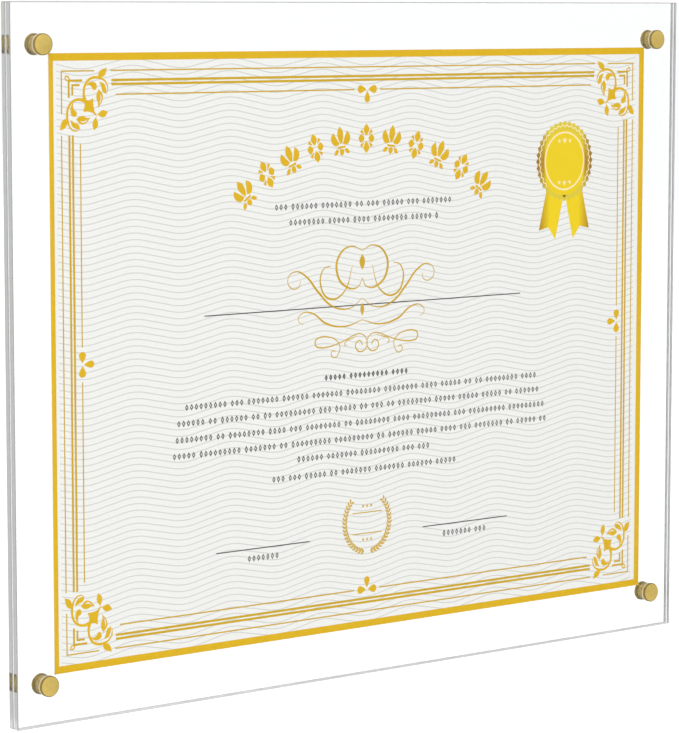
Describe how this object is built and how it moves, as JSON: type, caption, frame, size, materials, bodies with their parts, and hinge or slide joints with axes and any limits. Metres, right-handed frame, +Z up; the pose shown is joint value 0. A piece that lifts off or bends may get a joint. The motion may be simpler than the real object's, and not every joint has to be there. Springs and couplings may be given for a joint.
{
  "type": "certificate frame",
  "caption": "Wall frame that holds a printed landscape certificate between two clear acrylic panels, with low turned brass posts and screw caps at the corners",
  "frame": {"origin": "the middle of the four wall screws, on the wall plane", "axes": "+X right, +Z up, +Y into the wall, so the room is on the -Y side"},
  "size_m": [0.312, 0.0084, 0.251],
  "materials": {
    "clear_acrylic": "clear cast sheet, polished edges",
    "certificate_paper": "smooth white card with a gold border print",
    "cap_brass": "satin turned brass",
    "stud_brass": "bright threaded brass",
    "post_brass": "dark bronzed brass",
    "washer_film": "clear film"
  },
  "bodies": {
    "root": {"back_panel": "clear_acrylic", "post_top_left": "post_brass", "post_top_right": "post_brass", "post_bottom_left": "post_brass", "post_bottom_right": "post_brass", "rear_washer_top_left": "washer_film", "rear_washer_top_right": "washer_film", "rear_washer_bottom_left": "washer_film", "rear_washer_bottom_right": "washer_film", "spacer_top_left": "washer_film", "spacer_top_right": "washer_film", "spacer_bottom_left": "washer_film", "spacer_bottom_right": "washer_film"},
    "front_panel": {"front_panel": "clear_acrylic"},
    "certificate": {"certificate": "certificate_paper"},
    "washer_top_left": {"front_washer_top_left": "washer_film"},
    "cap_top_left": {"cap_top_left": "cap_brass", "stud_top_left": "stud_brass"},
    "washer_top_right": {"front_washer_top_right": "washer_film"},
    "cap_top_right": {"cap_top_right": "cap_brass", "stud_top_right": "stud_brass"},
    "washer_bottom_left": {"front_washer_bottom_left": "washer_film"},
    "cap_bottom_left": {"cap_bottom_left": "cap_brass", "stud_bottom_left": "stud_brass"},
    "washer_bottom_right": {"front_washer_bottom_right": "washer_film"},
    "cap_bottom_right": {"cap_bottom_right": "cap_brass", "stud_bottom_right": "stud_brass"}
  },
  "joints": [
    {"name": "front_panel_off", "type": "slide", "parent": "root", "child": "front_panel", "axis": [0, -1, 0], "range_m": [0, 0.04]},
    {"name": "certificate_slide", "type": "slide", "parent": "root", "child": "certificate", "axis": [0, 0, 1], "range_m": [0, 0.24]},
    {"name": "cap_travel_top_left", "type": "slide", "parent": "front_panel", "child": "washer_top_left", "axis": [0, -1, 0], "range_m": [0, 0.0032]},
    {"name": "cap_turn_top_left", "type": "hinge", "parent": "washer_top_left", "child": "cap_top_left", "pos_m": [-0.1438, -0.0067, 0.111], "axis": [0, -1, 0], "range_deg": [0, 1440]},
    {"name": "cap_travel_top_right", "type": "slide", "parent": "front_panel", "child": "washer_top_right", "axis": [0, -1, 0], "range_m": [0, 0.0032]},
    {"name": "cap_turn_top_right", "type": "hinge", "parent": "washer_top_right", "child": "cap_top_right", "pos_m": [0.1438, -0.0067, 0.111], "axis": [0, -1, 0], "range_deg": [0, 1440]},
    {"name": "cap_travel_bottom_left", "type": "slide", "parent": "front_panel", "child": "washer_bottom_left", "axis": [0, -1, 0], "range_m": [0, 0.0032]},
    {"name": "cap_turn_bottom_left", "type": "hinge", "parent": "washer_bottom_left", "child": "cap_bottom_left", "pos_m": [-0.1438, -0.0067, -0.111], "axis": [0, -1, 0], "range_deg": [0, 1440]},
    {"name": "cap_travel_bottom_right", "type": "slide", "parent": "front_panel", "child": "washer_bottom_right", "axis": [0, -1, 0], "range_m": [0, 0.0032]},
    {"name": "cap_turn_bottom_right", "type": "hinge", "parent": "washer_bottom_right", "child": "cap_bottom_right", "pos_m": [0.1438, -0.0067, -0.111], "axis": [0, -1, 0], "range_deg": [0, 1440]}
  ],
  "couplings": [
    {"joint": "cap_turn_top_left", "follows": "cap_travel_top_left", "rad_per_m": 7854},
    {"joint": "cap_turn_top_right", "follows": "cap_travel_top_right", "rad_per_m": 7854},
    {"joint": "cap_turn_bottom_left", "follows": "cap_travel_bottom_left", "rad_per_m": 7854},
    {"joint": "cap_turn_bottom_right", "follows": "cap_travel_bottom_right", "rad_per_m": 7854}
  ]
}
